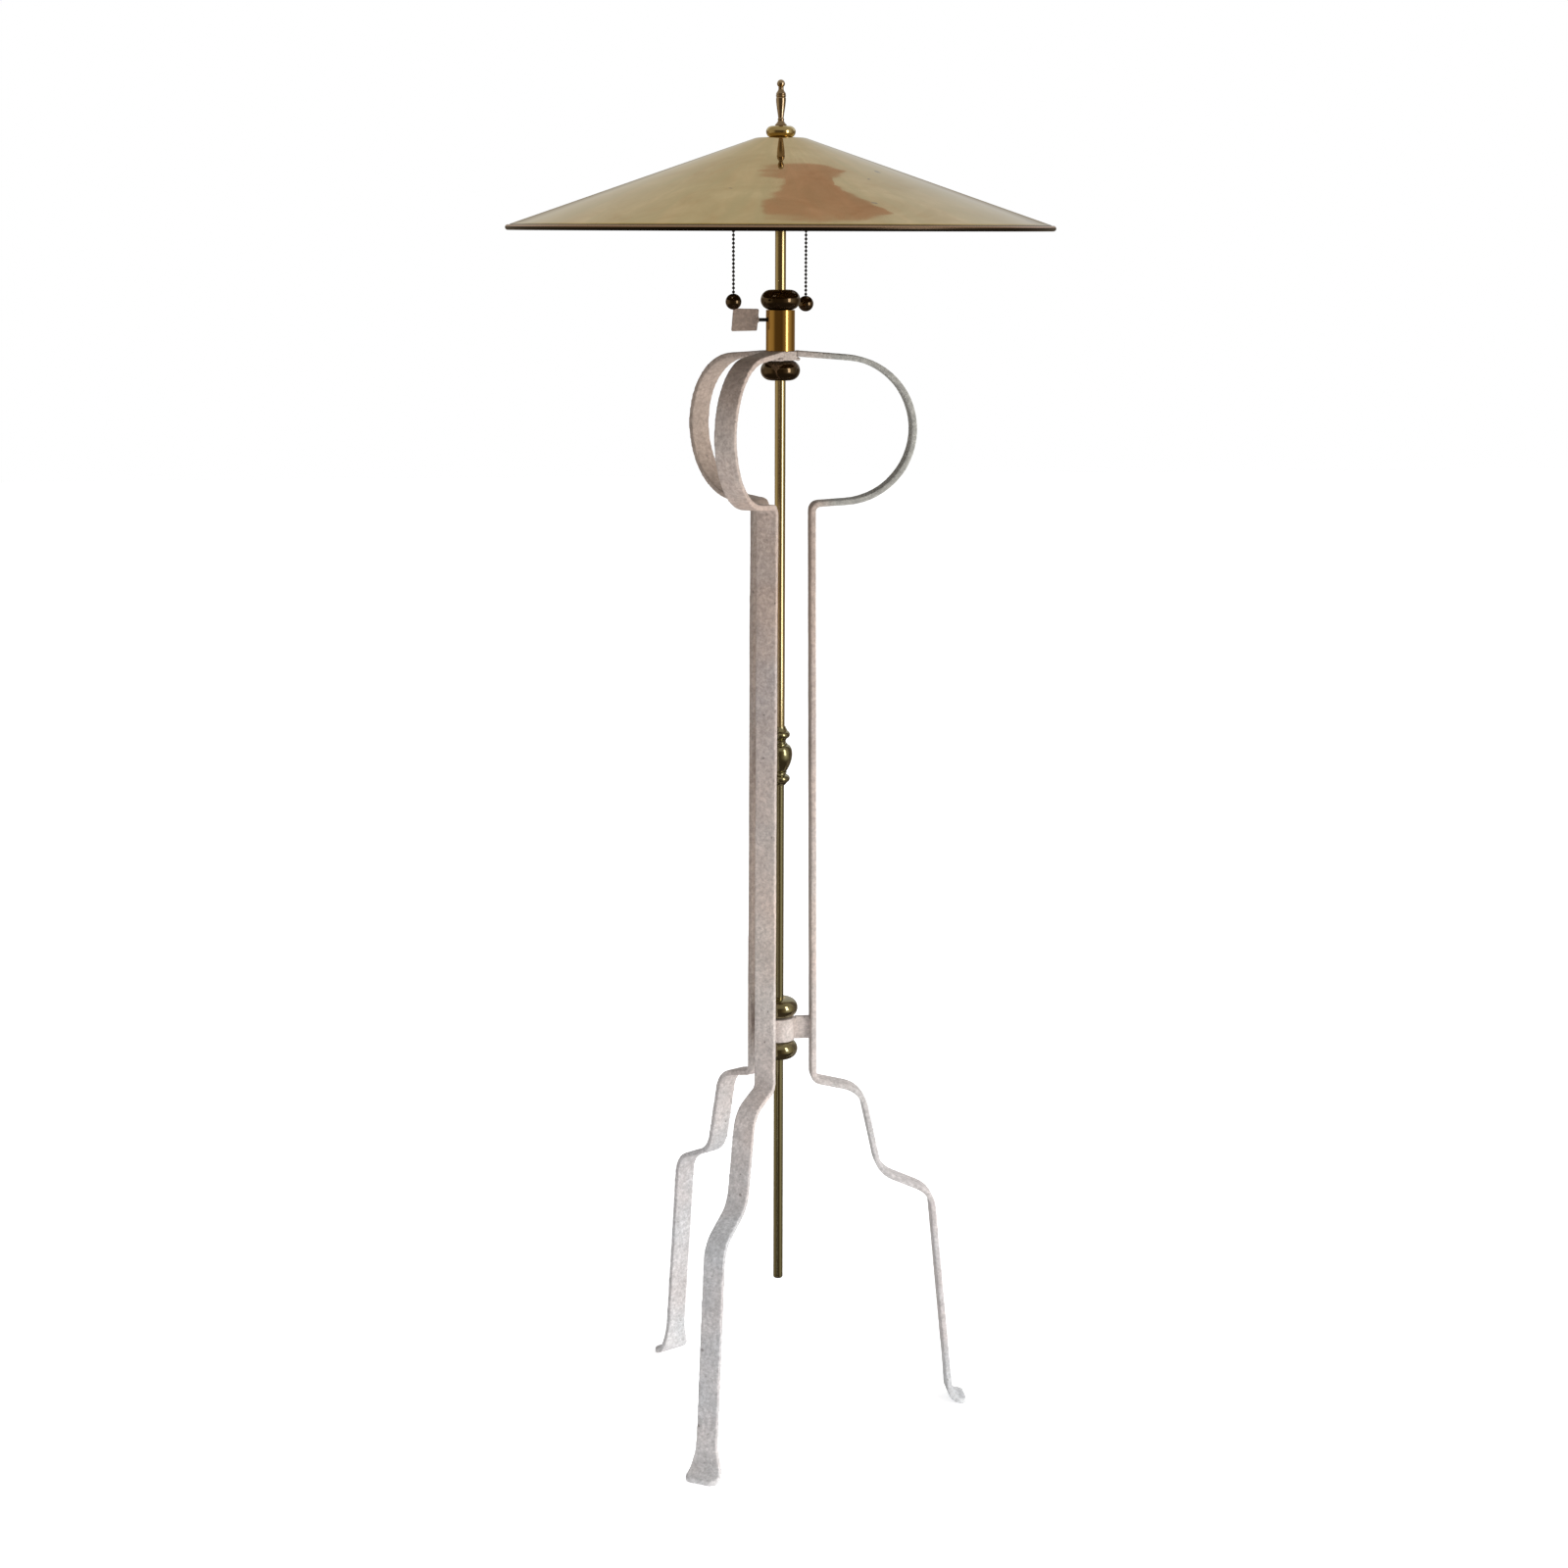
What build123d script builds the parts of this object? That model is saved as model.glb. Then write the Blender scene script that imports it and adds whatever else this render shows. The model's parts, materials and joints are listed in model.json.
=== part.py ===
from build123d import *
import math
import os

# Tripod floor lamp, in millimetres. The origin is on the floor under the mast, +Z up.
# Leg A points along +X. Leg B stands a little round from 120 degrees, as bent by hand.

# Flat bar that the legs and braces are bent from
BAR_WIDTH = 24.0
BAR_THICKNESS = 6.5
LEG_ANGLES = {"a": 0.0, "b": 121.5, "c": 240.0}

# Leg centreline in the leg's own plane: distance from the mast, height
LOOP_CENTRE = (67.4, 1124.5)
LOOP_RADIUS = 77.5
STRAP_SLOPE = 4.5
LOOP_EXIT_SLOPE = 3.5
STRAP_START = 12.0
UPPER_BEND = (34.8, 1044.9)
KNEE = (39.0, 395.7)
SHELF_END = (94.0, 382.5)
SHANK_END = (115.4, 284.3)
ANKLE = (176.0, 257.1)
HEEL_RADIUS = 201.5
TOE_RADIUS = 220.0
BEND_RADII = [8.0, 9.0, 32.0, 33.0, 30.0, 14.0]
TOE_WIDTH = 38.0
TOE_FLARE_HEIGHT = 42.0
TOE_CORNER = 9.0
TOE_TRIM = 2.0

# Upper hub: plate, sleeve and the two beads that close the stack
HUB_RADIUS = 19.5
HUB_BOTTOM = 1199.0
HUB_HEIGHT = 10.0
SLEEVE_RADIUS = 15.5
SLEEVE_HEIGHT = 43.0
BEAD_RADIUS = 21.2
BEAD_HEIGHT = 21.4
UPPER_GUIDE_RADIUS = 8.6

# Lower hub: collar, braces and two more beads
COLLAR_RADIUS = 18.0
COLLAR_BOTTOM = 443.0
COLLAR_HEIGHT = 26.5
BRACE_THICKNESS = 6.0
LOWER_GUIDE_RADIUS = 7.6

# Clearances
SLIDE_GAP = 0.06
SEAT_GAP = 0.02
FACE_GAP = 0.2

# Clamp: the screw runs along -X through the sleeve, opposite leg A
CLAMP_HEIGHT = 1241.7
CLAMP_RADIUS = 2.1
PAD_RADIUS = 2.0
PAD_LENGTH = 4.0
SCREW_GAP = 0.08
PADDLE_START = 23.0
PADDLE_END = 52.0
PADDLE_HEIGHT = 24.6
PADDLE_LEAN = 2.2
PADDLE_CORNER = 1.6
PADDLE_TAPER = 1.2
PADDLE_THICKNESS = 3.2
PADDLE_SOCKET = 4.0

# Mast: lower tube, turned coupling, upper tube
LOWER_TUBE_RADIUS = 5.35
LOWER_TUBE_BORE = 4.3
UPPER_TUBE_RADIUS = 5.8
UPPER_TUBE_BORE = 4.75
MAST_BOTTOM = 159.0
BUSHING_FLANGE = 4.0
BUSHING_SPIGOT = 12.0
BUSHING_BORE = 3.0
BUSHING_ROUND = 2.2
COUPLING_BOTTOM = 735.2
COUPLING_HEIGHT = 65.4
COUPLING_NECK = 7.6
COUPLING_RING = 4.3
COUPLING_LOW_RING = 7.0
COUPLING_HIGH_RING = 9.2
COUPLING_TIP_LOW = 6.4
COUPLING_TIP_HIGH = 6.9
VASE_RADIUS = 14.2
VASE_LOW = 14.6
VASE_WIDEST = 34.0
VASE_HIGH = 44.8
LOWER_TUBE_TOP = 752.0
UPPER_TUBE_BOTTOM = 786.0
UPPER_TUBE_TOP = 1352.0
NIPPLE_BORE = 3.2

# Cluster and riser inside the shade
CLUSTER_RADIUS = 17.0
CLUSTER_BOTTOM = 1346.0
CLUSTER_TOP = 1378.0
WIRE_ROOM_RADIUS = 11.0
PIPE_RADIUS = 4.85
STUD_RADIUS = 3.05
STUD_TOP = 1448.6

# Sockets, one each way along a level axis
SOCKET_HEIGHT = 1362.0
SOCKET_ANGLES = {"left": 222.0, "right": 42.0}
CAP_START = 26.0
CAP_END = 48.0
CAP_RADIUS = 17.3
SHELL_START = 40.0
SHELL_END = 88.0
SHELL_RADIUS = 16.4
SHELL_WALL = 0.7
SHELL_BEAD = 0.6
INSULATOR_START = 36.0
INSULATOR_END = 62.0
SCREW_SHELL_LENGTH = 24.0
CONTACT_RADIUS = 3.5
NIPPLE_LENGTH = 20.8
CHAIN_REACH = 58.9
CHAIN_SIDE = {"left": -14.6, "right": 14.6}
GUIDE_TOP = 1358.0
GUIDE_BOTTOM = 1342.0
GUIDE_RADIUS = 3.6
GUIDE_BORE = 2.2
GUIDE_MOUTH_RADIUS = 4.2
GUIDE_BELL_RADIUS = 5.2
GUIDE_BELL_HEIGHT = 4.0
PLUNGER_RADIUS = 1.5
BULB_RADIUS = 22.5
BULB_CENTRE = 112.0
BULB_WALL = 0.8
BULB_NECK_RADIUS = 12.6
BULB_CAP_RADIUS = 13.1
BULB_CAP_START = 67.0
BULB_CAP_END = 88.5

# Pull chains
CHAIN_TOP = 1338.8
CHAIN_PITCH = 4.2
CHAIN_BEAD_RADIUS = 1.6
CHAIN_LINK_RADIUS = 0.5
CHAIN_BEADS = {"left": 17, "right": 18}
BALL_RADIUS = 8.4

# Shade, a spun cone with a flat top and a rolled rim
SHADE_TOP = 1431.2
SHADE_TOP_RADIUS = 25.8
SHADE_SHEET = 0.9
SHADE_EDGE_RADIUS = 286.2
SHADE_EDGE_HEIGHT = 1341.4
RIM_RADIUS = 288.4
RIM_HEIGHT = 1337.9
RIM_ROLL = 2.9
SHADE_HOLE = 3.5

# Finial base and finial
BASE_RADIUS = 15.6
BASE_FOOT_RADIUS = 12.4
BASE_WIDEST = 6.0
BASE_SHOULDER = (11.4, 11.6)
BASE_TOP_RADIUS = 7.6
BASE_HEIGHT = 12.0
FINIAL_HEIGHT = 47.3
FINIAL_BALL_RADIUS = 4.2

# Finial outline, as (radius, height above its foot)
FINIAL_FOOT = (6.7, 1.0)
FINIAL_ANKLE = (3.9, 5.4)
FINIAL_STEM = (3.9, 9.0)
FINIAL_WAIST = (3.4, 11.6)
FINIAL_CHEST = (5.4, 28.4)
FINIAL_GROOVE = (4.6, 29.8)
FINIAL_SHOULDER = (5.5, 32.6)
FINIAL_COLLAR = (3.6, 35.4)
FINIAL_NECK = (2.9, 39.4)


def turned(*edges):
    """A solid turned about Z from a closed outline drawn as (radius, height)."""
    return revolve(Plane.XZ * make_face(edges), Axis.Z)


def outline(*points):
    """Closed straight-sided outline, ready for turned()."""
    return Polyline(*points, close=True).edges()


def ring(inner, outer, bottom, height):
    """A plain tube or washer standing on a height."""
    top = bottom + height
    return turned(*outline((inner, bottom), (outer, bottom), (outer, top), (inner, top)))


def rod(radius, bottom, height):
    """A plain upright cylinder."""
    return Pos(0, 0, bottom + height / 2) * Cylinder(radius, height)


def hexagon_nut(across_flats, bore, bottom, height):
    """A plain hexagon nut."""
    blank = extrude(RegularPolygon(across_flats / 2, 6, major_radius=False), height)
    return Pos(0, 0, bottom) * (blank - Pos(0, 0, height / 2) * Cylinder(bore, height * 2))


def leg_path():
    """Centreline of one leg: strap, D-shaped loop, upright, and the stepped foot."""
    loop = CenterArc(LOOP_CENTRE, LOOP_RADIUS, 90 - STRAP_SLOPE, -180 + STRAP_SLOPE + LOOP_EXIT_SLOPE)
    loop_start = loop @ 0
    strap_rise = (loop_start.X - STRAP_START) * math.tan(math.radians(STRAP_SLOPE))
    strap = Line((STRAP_START, loop_start.Y + strap_rise), loop_start)
    sole = BAR_THICKNESS / 2
    bends = FilletPolyline(
        loop @ 1, UPPER_BEND, KNEE, SHELF_END, SHANK_END, ANKLE,
        (HEEL_RADIUS, sole), (TOE_RADIUS + TOE_TRIM, sole), radius=BEND_RADII,
    )
    return Wire(strap.edges() + loop.edges() + bends.edges())


def foot_mask():
    """Front view of a leg: the bar's width, flared to the toe's width at the floor."""
    half_bar = BAR_WIDTH / 2
    half_toe = TOE_WIDTH / 2
    top = LOOP_CENTRE[1] + 2 * LOOP_RADIUS
    flares = [
        Spline(
            (side * half_bar, TOE_FLARE_HEIGHT), (side * half_toe, BAR_THICKNESS),
            tangents=[(0, -1), (side * 0.25, -1)],
        )
        for side in (1, -1)
    ]
    sides = [
        Line((half_toe, BAR_THICKNESS), (half_toe, -1)),
        Line((half_toe, -1), (-half_toe, -1)),
        Line((-half_toe, -1), (-half_toe, BAR_THICKNESS)),
        Line((-half_bar, TOE_FLARE_HEIGHT), (-half_bar, top)),
        Line((-half_bar, top), (half_bar, top)),
        Line((half_bar, top), (half_bar, TOE_FLARE_HEIGHT)),
    ]
    face = make_face(flares + sides)
    return extrude(Plane.YZ * face, TOE_RADIUS)


def make_leg():
    """Leg A: a flat bar bent on edge, hollowed at its end to sit against the hub plate."""
    bar = extrude(Plane.XZ * trace(leg_path(), BAR_THICKNESS), TOE_WIDTH / 2, both=True)
    leg = bar & foot_mask()
    tip_edges = leg.edges().filter_by(Axis.Z).group_by(Axis.X)[-1]
    leg = fillet(tip_edges, TOE_CORNER)
    return leg - rod(HUB_RADIUS, HUB_BOTTOM - 20, HUB_HEIGHT + 40)


def make_bead(bottom, bore):
    """A brass bun with fully rounded sides."""
    flat = BEAD_RADIUS - BEAD_HEIGHT / 2
    middle = bottom + BEAD_HEIGHT / 2
    top = bottom + BEAD_HEIGHT
    return turned(
        Line((bore, bottom), (flat, bottom)),
        ThreePointArc((flat, bottom), (BEAD_RADIUS, middle), (flat, top)),
        Line((flat, top), (bore, top)),
        Line((bore, top), (bore, bottom)),
    )


def clamp_bore():
    """The hole that the clamp screw and its pad run in."""
    hole = Pos(-SLEEVE_RADIUS / 2 - 5, 0, CLAMP_HEIGHT) * Rot(0, 90, 0)
    return hole * Cylinder(CLAMP_RADIUS + SLIDE_GAP, SLEEVE_RADIUS)


def radial_rod(radius, start, end):
    """A cylinder along -X at the clamp's height."""
    return Pos(-(start + end) / 2, 0, CLAMP_HEIGHT) * Rot(0, 90, 0) * Cylinder(radius, end - start)


def make_upper_hub():
    """Plate, sleeve, guide tube and beads at the top of the legs."""
    bead_low = HUB_BOTTOM - BEAD_HEIGHT
    sleeve_bottom = HUB_BOTTOM + HUB_HEIGHT
    bead_high = sleeve_bottom + SLEEVE_HEIGHT
    bore = UPPER_GUIDE_RADIUS + SEAT_GAP
    stack = bead_high + BEAD_HEIGHT - bead_low
    guide = ring(UPPER_TUBE_RADIUS + SLIDE_GAP, UPPER_GUIDE_RADIUS, bead_low, stack)
    sleeve = ring(bore, SLEEVE_RADIUS, sleeve_bottom, SLEEVE_HEIGHT)
    return {
        "hub_plate": ring(bore, HUB_RADIUS, HUB_BOTTOM, HUB_HEIGHT),
        "clamp_sleeve": sleeve - clamp_bore(),
        "upper_guide_tube": guide - clamp_bore(),
        "upper_bead": make_bead(bead_high, bore),
        "under_hub_bead": make_bead(bead_low, bore),
    }


def make_lower_hub():
    """Collar, guide tube and beads where the braces meet."""
    bead_low = COLLAR_BOTTOM - BEAD_HEIGHT
    bead_high = COLLAR_BOTTOM + COLLAR_HEIGHT
    bore = LOWER_GUIDE_RADIUS + SEAT_GAP
    stack = bead_high + BEAD_HEIGHT - bead_low
    return {
        "brace_collar": ring(bore, COLLAR_RADIUS, COLLAR_BOTTOM, COLLAR_HEIGHT),
        "lower_guide_tube": ring(LOWER_TUBE_RADIUS + SLIDE_GAP, LOWER_GUIDE_RADIUS, bead_low, stack),
        "over_collar_bead": make_bead(bead_high, bore),
        "lower_bead": make_bead(bead_low, bore),
    }


def make_brace(leg):
    """Brace A: a short bar on edge from the collar to the inside of its leg."""
    reach = KNEE[0]
    bar = Pos(reach / 2, 0, COLLAR_BOTTOM + COLLAR_HEIGHT / 2) * Box(reach, BRACE_THICKNESS, COLLAR_HEIGHT)
    return bar - rod(COLLAR_RADIUS, COLLAR_BOTTOM - 5, COLLAR_HEIGHT + 10) - leg


def make_clamp():
    """Pad, screw and the flat paddle that turns it."""
    pad_start = UPPER_TUBE_RADIUS + SEAT_GAP
    pad = radial_rod(PAD_RADIUS, pad_start, pad_start + PAD_LENGTH)
    screw_end = PADDLE_START + PADDLE_SOCKET
    screw = radial_rod(CLAMP_RADIUS, pad_start + PAD_LENGTH + SCREW_GAP, screw_end)
    half_in = PADDLE_HEIGHT / 2 - PADDLE_TAPER / 2
    half_out = PADDLE_HEIGHT / 2
    inner = -PADDLE_START - 1
    lean = PADDLE_LEAN / 2
    blade_outline = Polyline(
        (inner - lean, -half_in), (inner + lean, half_in),
        (lean - PADDLE_END, half_out), (-lean - PADDLE_END, -half_out), close=True,
    )
    blade = extrude(Plane.XZ * make_face(blade_outline), PADDLE_THICKNESS / 2, both=True)
    blade = fillet(blade.edges().filter_by(Axis.Y), PADDLE_CORNER)
    weld = Pos(-PADDLE_START - 3.5, 0, 0) * Rot(0, -90, 0) * Cone(3.4, 1.5, 7)
    paddle = Pos(0, 0, CLAMP_HEIGHT) * (blade + weld)
    socket = radial_rod(CLAMP_RADIUS + SEAT_GAP, PADDLE_START - 2, screw_end + SEAT_GAP)
    return {"clamp_pad": pad, "clamp_screw": screw, "clamp_paddle": paddle - socket}


def make_coupling():
    """Turned coupling: ring, neck, vase, neck, ring, bored to seat both tubes."""
    top = COUPLING_BOTTOM + COUPLING_HEIGHT
    low_ring = COUPLING_BOTTOM + COUPLING_LOW_RING
    high_ring = top - COUPLING_HIGH_RING
    low = COUPLING_BOTTOM + VASE_LOW
    widest = COUPLING_BOTTOM + VASE_WIDEST
    high = COUPLING_BOTTOM + VASE_HIGH
    waist = COUPLING_NECK - 0.4
    body = rod(COUPLING_NECK, COUPLING_BOTTOM + 2.5, COUPLING_HEIGHT - 5)
    for height in (low_ring, high_ring):
        body += Pos(0, 0, height) * Torus(COUPLING_NECK - 0.3, COUPLING_RING)
    body += turned(
        Line((0, low), (waist, low)),
        TangentArc((VASE_RADIUS, widest), (waist, low), tangent=(0, -1)),
        TangentArc((VASE_RADIUS, widest), (waist, high), tangent=(0, 1)),
        Line((waist, high), (0, high)),
        Line((0, high), (0, low)),
    )
    low_tip = (COUPLING_TIP_LOW, COUPLING_BOTTOM)
    high_tip = (COUPLING_TIP_HIGH, top)
    body += turned(*outline((0, COUPLING_BOTTOM), low_tip, (9.4, low_ring), (0, low_ring)))
    body += turned(*outline((0, high_ring), (9.6, high_ring), (8.1, top - 3), high_tip, (0, top)))
    body -= rod(LOWER_TUBE_RADIUS + SEAT_GAP, COUPLING_BOTTOM - 1, LOWER_TUBE_TOP - COUPLING_BOTTOM + 1)
    body -= rod(LOWER_TUBE_BORE, LOWER_TUBE_TOP - 1, UPPER_TUBE_BOTTOM - LOWER_TUBE_TOP + 2)
    body -= rod(UPPER_TUBE_RADIUS + SLIDE_GAP, UPPER_TUBE_BOTTOM, top - UPPER_TUBE_BOTTOM + 1)
    return body


def make_bushing():
    """Rounded cord outlet pressed into the mast's lower end."""
    flange_top = MAST_BOTTOM + BUSHING_FLANGE
    round_off = BUSHING_ROUND
    outer = LOWER_TUBE_RADIUS
    arc_middle = (outer - round_off * (1 - math.sqrt(0.5)), MAST_BOTTOM + round_off * (1 - math.sqrt(0.5)))
    flange = turned(
        Line((BUSHING_BORE, MAST_BOTTOM), (outer - round_off, MAST_BOTTOM)),
        ThreePointArc((outer - round_off, MAST_BOTTOM), arc_middle, (outer, MAST_BOTTOM + round_off)),
        Line((outer, MAST_BOTTOM + round_off), (outer, flange_top)),
        Line((outer, flange_top), (BUSHING_BORE, flange_top)),
        Line((BUSHING_BORE, flange_top), (BUSHING_BORE, MAST_BOTTOM)),
    )
    return flange + ring(BUSHING_BORE, LOWER_TUBE_BORE - SEAT_GAP, flange_top, BUSHING_SPIGOT)


def make_mast():
    """The tubes, their coupling and nipple, and the cord outlet."""
    lower_bottom = MAST_BOTTOM + BUSHING_FLANGE
    lower_height = LOWER_TUBE_TOP - lower_bottom
    upper_bottom = UPPER_TUBE_BOTTOM + FACE_GAP
    upper_height = UPPER_TUBE_TOP - upper_bottom
    nipple_bottom = LOWER_TUBE_TOP - 14
    nipple_height = UPPER_TUBE_BOTTOM - nipple_bottom - FACE_GAP
    nipple_radius = LOWER_TUBE_BORE - SEAT_GAP
    return {
        "mast_lower_tube": ring(LOWER_TUBE_BORE, LOWER_TUBE_RADIUS, lower_bottom, lower_height),
        "mast_coupling": make_coupling(),
        "coupling_nipple": ring(NIPPLE_BORE, nipple_radius, nipple_bottom, nipple_height),
        "cord_bushing": make_bushing(),
        "mast_upper_tube": ring(UPPER_TUBE_BORE, UPPER_TUBE_RADIUS, upper_bottom, upper_height),
    }


def along_axis(angle):
    """Places a piece made about Z onto a socket's level axis."""
    return Pos(0, 0, SOCKET_HEIGHT) * Rot(0, 0, angle) * Rot(0, 90, 0)


def make_cluster():
    """Cast cluster body on the mast's top, with its two short pipe nipples."""
    height = CLUSTER_TOP - CLUSTER_BOTTOM
    body = rod(CLUSTER_RADIUS, CLUSTER_BOTTOM, height)
    body = chamfer(body.edges().filter_by(GeomType.CIRCLE), 3.0)
    body -= rod(UPPER_TUBE_RADIUS + SEAT_GAP, CLUSTER_BOTTOM - 1, UPPER_TUBE_TOP - CLUSTER_BOTTOM + 1)
    body -= rod(PIPE_RADIUS + SEAT_GAP, UPPER_TUBE_TOP - 1, CLUSTER_TOP - UPPER_TUBE_TOP + 2)
    body -= rod(WIRE_ROOM_RADIUS, UPPER_TUBE_TOP + 3, 14.0)
    nipples = []
    for angle in SOCKET_ANGLES.values():
        body -= along_axis(angle) * rod(PIPE_RADIUS + SEAT_GAP, 5, 15)
        nipple = ring(NIPPLE_BORE, PIPE_RADIUS, WIRE_ROOM_RADIUS + FACE_GAP, NIPPLE_LENGTH)
        nipples.append(along_axis(angle) * nipple)
    return {"cluster_body": body, "cluster_nipples": Compound(children=nipples)}


def make_riser():
    """Stud, nuts and washer that carry the shade above the cluster."""
    seat = SHADE_TOP - SHADE_SHEET - FACE_GAP
    stud_bottom = CLUSTER_TOP - 8
    pipe_top = seat - 0.4
    stud = rod(PIPE_RADIUS, stud_bottom, pipe_top - stud_bottom)
    stud += rod(STUD_RADIUS, pipe_top - 1, STUD_TOP - pipe_top + 1)
    washer_height = 2.6
    nut_height = 5.0
    washer_bore = PIPE_RADIUS + SEAT_GAP
    return {
        "riser_stud": stud,
        "riser_nut": hexagon_nut(16, washer_bore, CLUSTER_TOP, 4),
        "seat_washer": ring(washer_bore, 14.0, seat - washer_height, washer_height),
        "seat_nut": hexagon_nut(15, washer_bore, seat - washer_height - nut_height, nut_height),
    }


def chain_place(side):
    """Places a piece made about Z onto a socket's pull chain."""
    return Rot(0, 0, SOCKET_ANGLES[side]) * Pos(CHAIN_REACH, CHAIN_SIDE[side], 0)


def make_socket_cap():
    """Domed cap that closes the socket towards the cluster."""
    dome_end = CAP_START + 8.5
    inner = SHELL_RADIUS + SEAT_GAP
    return turned(
        Line((5.0, CAP_START), (10.0, CAP_START)),
        ThreePointArc((10.0, CAP_START), (15.3, CAP_START + 2.9), (CAP_RADIUS, dome_end)),
        Line((CAP_RADIUS, dome_end), (CAP_RADIUS, CAP_END)),
        Line((CAP_RADIUS, CAP_END), (inner, CAP_END)),
        Line((inner, CAP_END), (inner, dome_end + 0.2)),
        ThreePointArc((inner, dome_end + 0.2), (14.6, CAP_START + 3.6), (9.8, CAP_START + 0.8)),
        Line((9.8, CAP_START + 0.8), (5.0, CAP_START + 0.8)),
        Line((5.0, CAP_START + 0.8), (5.0, CAP_START)),
    )


def make_bulb_glass():
    """Hollow globe with a solid neck that fills the bulb's cap."""
    tip = BULB_CENTRE + BULB_RADIUS
    neck_start = BULB_CENTRE - math.sqrt(BULB_RADIUS**2 - BULB_NECK_RADIUS**2)
    glass = turned(
        Line((0, BULB_CAP_END), (BULB_NECK_RADIUS, BULB_CAP_END)),
        Line((BULB_NECK_RADIUS, BULB_CAP_END), (BULB_NECK_RADIUS, neck_start)),
        ThreePointArc((BULB_NECK_RADIUS, neck_start), (BULB_RADIUS, BULB_CENTRE), (0, tip)),
        Line((0, tip), (0, BULB_CAP_END)),
    )
    return glass - Pos(0, 0, BULB_CENTRE) * Sphere(BULB_RADIUS - BULB_WALL)


def make_chain_guide():
    """Flared tube under the socket that the pull chain comes out of."""
    height = GUIDE_TOP - GUIDE_BOTTOM
    bell_top = GUIDE_BOTTOM + GUIDE_BELL_HEIGHT
    tube = rod(GUIDE_RADIUS, GUIDE_BOTTOM, height)
    bell = turned(*outline(
        (0, GUIDE_BOTTOM), (GUIDE_BELL_RADIUS, GUIDE_BOTTOM), (GUIDE_RADIUS, bell_top), (0, bell_top),
    ))
    mouth = Pos(0, 0, GUIDE_BOTTOM + 1.2) * Cone(GUIDE_MOUTH_RADIUS, GUIDE_BORE, 2.6)
    return tube + bell - rod(GUIDE_BORE, GUIDE_BOTTOM - 1, height + 2) - mouth


def make_socket(side):
    """One pull-chain socket with its bulb, placed along its level axis."""
    place = along_axis(SOCKET_ANGLES[side])
    shell_bore = SHELL_RADIUS - SHELL_WALL
    guide_height = GUIDE_TOP - GUIDE_BOTTOM
    shell = ring(shell_bore, SHELL_RADIUS, SHELL_START, SHELL_END - SHELL_START)
    shell += Pos(0, 0, SHELL_END - SHELL_BEAD) * Torus(SHELL_RADIUS - 0.2, SHELL_BEAD)
    insulator = rod(shell_bore - SEAT_GAP, INSULATOR_START, INSULATOR_END - INSULATOR_START)
    screw_shell = ring(BULB_CAP_RADIUS + 0.3, BULB_CAP_RADIUS + 0.8, INSULATOR_END, SCREW_SHELL_LENGTH)
    bulb_cap = rod(BULB_CAP_RADIUS, BULB_CAP_START, BULB_CAP_END - BULB_CAP_START)
    bulb_cap += rod(5.0, BULB_CAP_START - 3, 3.0)
    room = chain_place(side) * rod(GUIDE_RADIUS + SEAT_GAP, GUIDE_BOTTOM, guide_height + SEAT_GAP)
    plunger = rod(PLUNGER_RADIUS, GUIDE_BOTTOM - 1.2, guide_height - 2)
    return {
        f"socket_cap_{side}": place * make_socket_cap(),
        f"socket_shell_{side}": place * shell - room,
        f"socket_insulator_{side}": place * insulator - room,
        f"screw_shell_{side}": place * screw_shell - room,
        f"contact_{side}": place * rod(CONTACT_RADIUS, INSULATOR_END, 1.6),
        f"chain_guide_{side}": chain_place(side) * make_chain_guide(),
        f"switch_plunger_{side}": chain_place(side) * plunger,
        f"bulb_cap_{side}": place * bulb_cap,
        f"bulb_glass_{side}": place * make_bulb_glass(),
    }


def make_pull_chain(side):
    """Bead chain and its ball, hanging straight from the chain guide."""
    place = chain_place(side)
    count = CHAIN_BEADS[side]
    last_bead = CHAIN_TOP - CHAIN_PITCH * (count - 1)
    ball_top = last_bead - CHAIN_BEAD_RADIUS - 0.1
    chain = rod(CHAIN_LINK_RADIUS, ball_top + SEAT_GAP, CHAIN_TOP - ball_top)
    for index in range(count):
        chain += Pos(0, 0, CHAIN_TOP - CHAIN_PITCH * index) * Sphere(CHAIN_BEAD_RADIUS)
    ball = Pos(0, 0, ball_top - BALL_RADIUS) * Sphere(BALL_RADIUS)
    return {f"pull_chain_{side}": place * chain, f"pull_ball_{side}": place * ball}


def make_shade():
    """Spun cone: flat top with a hole, straight side, rolled rim."""
    slope = math.atan2(SHADE_TOP - SHADE_EDGE_HEIGHT, SHADE_EDGE_RADIUS - SHADE_TOP_RADIUS)
    drop = SHADE_SHEET / math.cos(slope)
    shoulder_in = SHADE_SHEET * math.tan(slope / 2)
    under_top = SHADE_TOP - SHADE_SHEET
    cone = turned(*outline(
        (SHADE_HOLE, under_top), (SHADE_HOLE, SHADE_TOP), (SHADE_TOP_RADIUS, SHADE_TOP),
        (SHADE_EDGE_RADIUS, SHADE_EDGE_HEIGHT), (SHADE_EDGE_RADIUS, RIM_HEIGHT),
        (SHADE_EDGE_RADIUS - SHADE_SHEET, RIM_HEIGHT),
        (SHADE_EDGE_RADIUS - SHADE_SHEET, SHADE_EDGE_HEIGHT - drop + SHADE_SHEET * math.tan(slope)),
        (SHADE_TOP_RADIUS - shoulder_in, under_top),
    ))
    return cone + Pos(0, 0, RIM_HEIGHT) * Torus(RIM_RADIUS, RIM_ROLL)


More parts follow.
